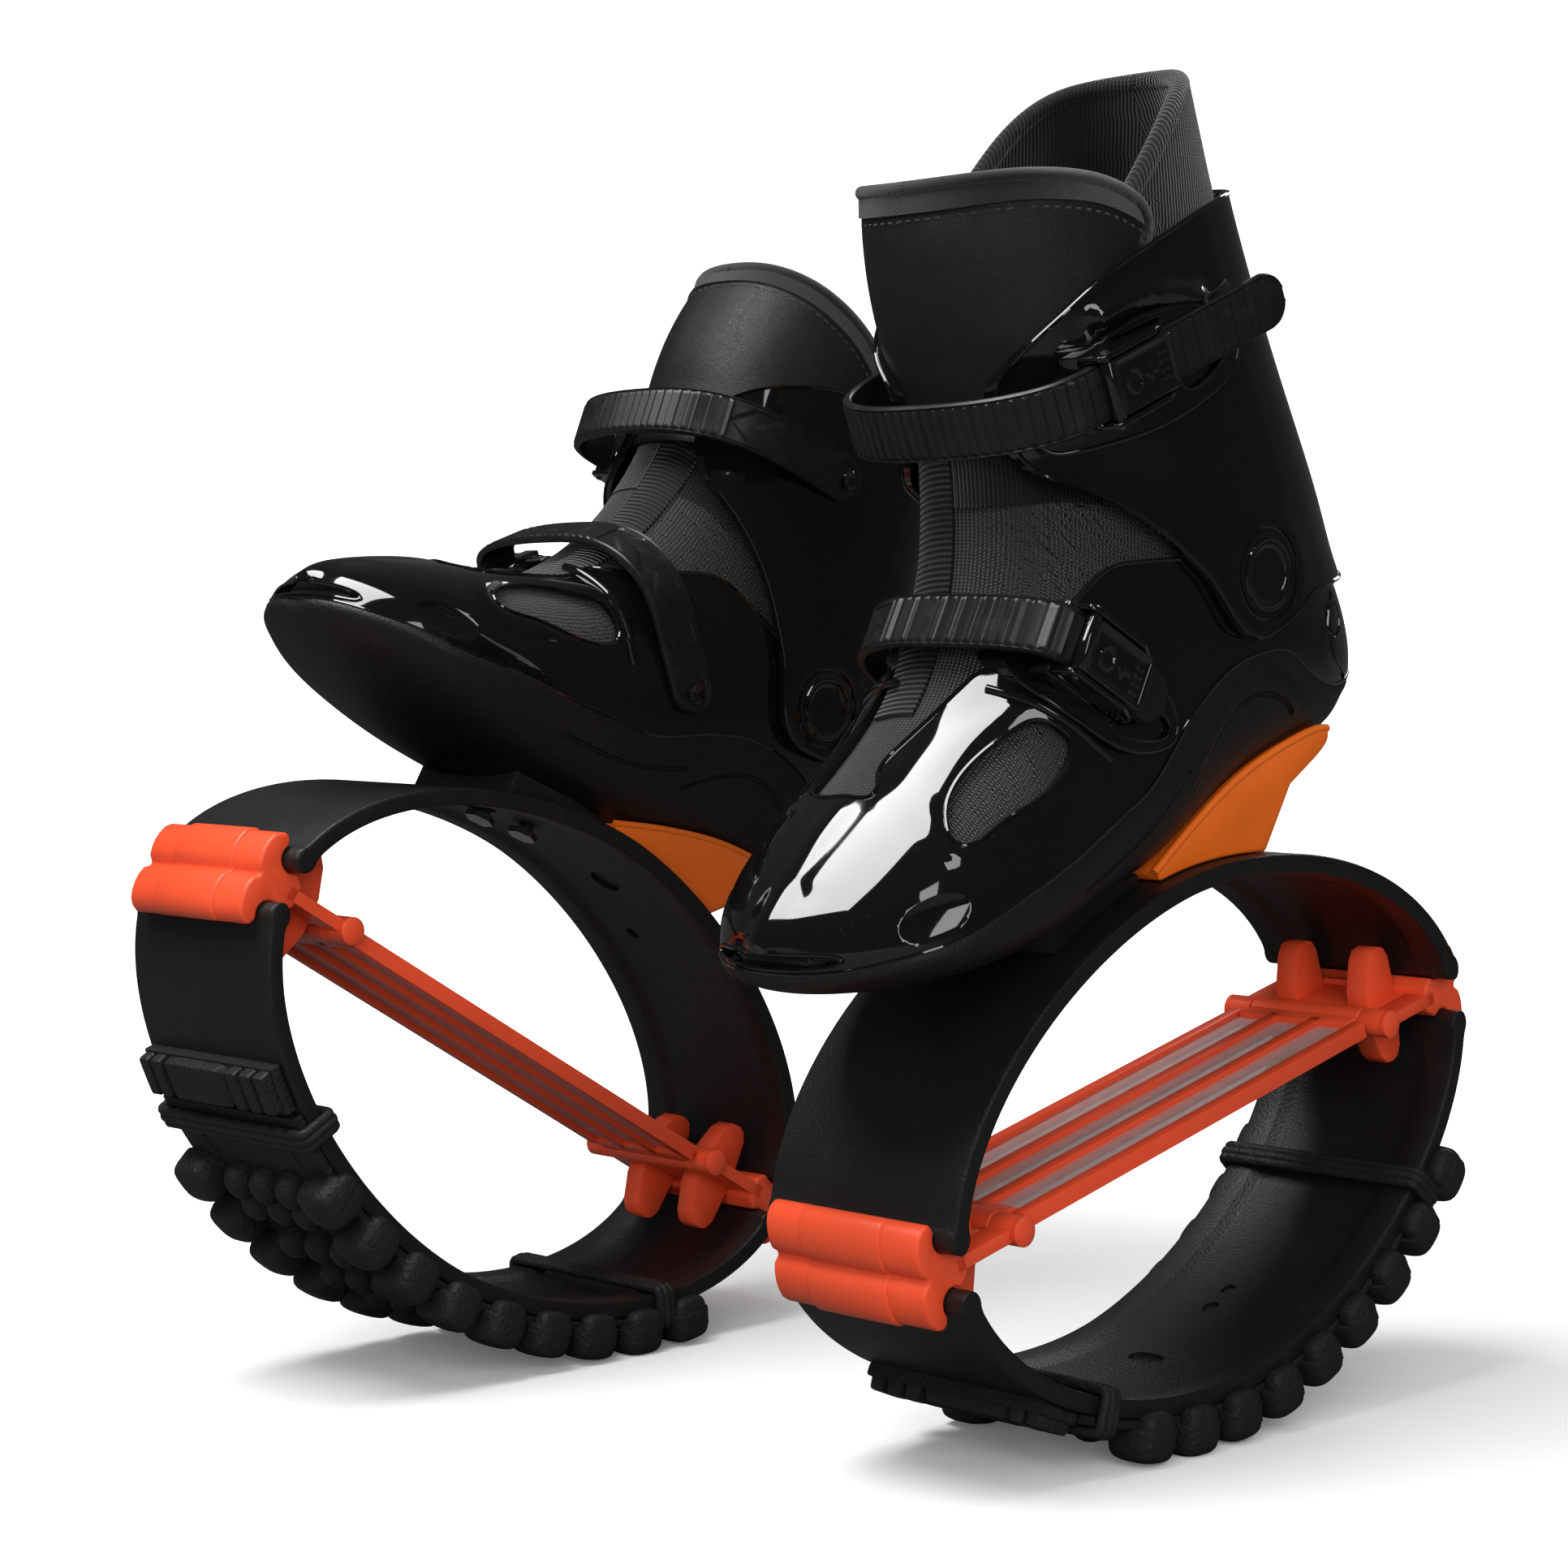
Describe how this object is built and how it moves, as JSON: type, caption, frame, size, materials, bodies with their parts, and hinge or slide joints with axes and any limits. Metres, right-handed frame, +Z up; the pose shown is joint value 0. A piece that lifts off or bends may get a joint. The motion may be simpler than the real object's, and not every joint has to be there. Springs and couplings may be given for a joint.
{
  "type": "rebound boots",
  "caption": "Pair of rebound boots: gloss shells with hinged cuffs and ratchet straps, on oval rings of sprung bows held by end clips and a flat tension spring.",
  "frame": {"origin": "on the floor, under the centre of the bounding box of the pair", "axes": "+Z up, toes along -Y, +X towards the outer side of the left shoe"},
  "size_m": [0.3826, 0.405, 0.4915],
  "materials": {
    "gloss_black": "gloss",
    "matte_black": "matte",
    "rubber_black": "matte",
    "fabric_black": "matte",
    "leather_black": "satin",
    "spring_orange": "satin",
    "wedge_orange": "satin",
    "steel": "satin"
  },
  "bodies": {
    "boots": {"left_shell": "gloss_black", "left_sole_base": "matte_black", "left_wedge": "wedge_orange", "left_upper_bow": "matte_black", "left_front_mounting_bolt": "steel", "left_rear_mounting_bolt": "steel", "left_cuff_pivot_outer": "gloss_black", "left_cuff_pivot_inner": "gloss_black", "left_liner_foot": "fabric_black", "left_footbed": "fabric_black", "left_lower_strap": "rubber_black", "left_lower_strap_screw": "gloss_black", "left_lower_buckle_base": "gloss_black", "left_lower_buckle_pin": "steel", "right_shell": "gloss_black", "right_sole_base": "matte_black", "right_wedge": "wedge_orange", "right_upper_bow": "matte_black", "right_front_mounting_bolt": "steel", "right_rear_mounting_bolt": "steel", "right_cuff_pivot_outer": "gloss_black", "right_cuff_pivot_inner": "gloss_black", "right_liner_foot": "fabric_black", "right_footbed": "fabric_black", "right_lower_strap": "rubber_black", "right_lower_strap_screw": "gloss_black", "right_lower_buckle_base": "gloss_black", "right_lower_buckle_pin": "steel"},
    "left_cuff_set": {"left_cuff": "gloss_black", "left_liner_collar": "fabric_black", "left_tongue": "leather_black", "left_upper_strap": "rubber_black", "left_upper_strap_screw": "gloss_black", "left_upper_buckle_base": "gloss_black", "left_upper_buckle_pin": "steel"},
    "left_lower_lever": {"left_lower_buckle_lever": "gloss_black"},
    "left_upper_lever": {"left_upper_buckle_lever": "gloss_black"},
    "left_ring_base": {"left_lower_bow": "matte_black", "left_tread": "rubber_black"},
    "left_ring_waist": {"left_front_clip": "spring_orange", "left_front_clip_pin": "spring_orange", "left_rear_clip": "spring_orange", "left_rear_clip_pin": "spring_orange", "left_tension_spring": "spring_orange"},
    "right_cuff_set": {"right_cuff": "gloss_black", "right_liner_collar": "fabric_black", "right_tongue": "leather_black", "right_upper_strap": "rubber_black", "right_upper_strap_screw": "gloss_black", "right_upper_buckle_base": "gloss_black", "right_upper_buckle_pin": "steel"},
    "right_lower_lever": {"right_lower_buckle_lever": "gloss_black"},
    "right_upper_lever": {"right_upper_buckle_lever": "gloss_black"},
    "right_ring_base": {"right_lower_bow": "matte_black", "right_tread": "rubber_black"},
    "right_ring_waist": {"right_front_clip": "spring_orange", "right_front_clip_pin": "spring_orange", "right_rear_clip": "spring_orange", "right_rear_clip_pin": "spring_orange", "right_tension_spring": "spring_orange"}
  },
  "joints": [
    {"name": "left_cuff_hinge", "type": "hinge", "parent": "boots", "child": "left_cuff_set", "pos_m": [0.1294, 0.04982, 0.31281], "axis": [1, 0, 0], "range_deg": [-3, 10], "deforming": ["left_liner_foot"]},
    {"name": "left_upper_lever_hinge", "type": "hinge", "parent": "left_cuff_set", "child": "left_upper_lever", "pos_m": [0.18821, -0.04709, 0.37337], "axis": [0, 0.3752, -0.9269], "range_deg": [0, 60], "stiffness_Nm_per_rad": 0.02},
    {"name": "left_lower_lever_hinge", "type": "hinge", "parent": "boots", "child": "left_lower_lever", "pos_m": [0.18604, -0.05754, 0.28921], "axis": [0, -0.4534, -0.8913], "range_deg": [0, 60], "stiffness_Nm_per_rad": 0.02},
    {"name": "left_bounce", "type": "slide", "parent": "boots", "child": "left_ring_base", "axis": [0, -0.2426, 0.9701], "range_m": [0, 0.035], "stiffness_N_per_m": 20000, "deforming": ["left_upper_bow", "left_lower_bow", "left_tread"]},
    {"name": "left_bounce_waist", "type": "slide", "parent": "boots", "child": "left_ring_waist", "axis": [0, -0.2426, 0.9701], "range_m": [0, 0.0175]},
    {"name": "right_cuff_hinge", "type": "hinge", "parent": "boots", "child": "right_cuff_set", "pos_m": [-0.1294, 0.08565, 0.25822], "axis": [1, 0, 0], "range_deg": [-3, 10], "deforming": ["right_liner_foot"]},
    {"name": "right_upper_lever_hinge", "type": "hinge", "parent": "right_cuff_set", "child": "right_upper_lever", "pos_m": [-0.18821, 0.05868, 0.36927], "axis": [0, 0.3796, 0.9252], "range_deg": [0, 60], "stiffness_Nm_per_rad": 0.02},
    {"name": "right_lower_lever_hinge", "type": "hinge", "parent": "boots", "child": "right_lower_lever", "pos_m": [-0.18604, -0.00762, 0.31639], "axis": [0, 0.9473, 0.3205], "range_deg": [0, 60], "stiffness_Nm_per_rad": 0.02},
    {"name": "right_bounce", "type": "slide", "parent": "boots", "child": "right_ring_base", "axis": [0, 0.5047, 0.8633], "range_m": [0, 0.035], "stiffness_N_per_m": 20000, "deforming": ["right_upper_bow", "right_lower_bow", "right_tread"]},
    {"name": "right_bounce_waist", "type": "slide", "parent": "boots", "child": "right_ring_waist", "axis": [0, 0.5047, 0.8633], "range_m": [0, 0.0175]}
  ],
  "couplings": [
    {"joint": "left_bounce_waist", "follows": "left_bounce", "ratio": 0.5},
    {"joint": "right_bounce_waist", "follows": "right_bounce", "ratio": 0.5}
  ]
}
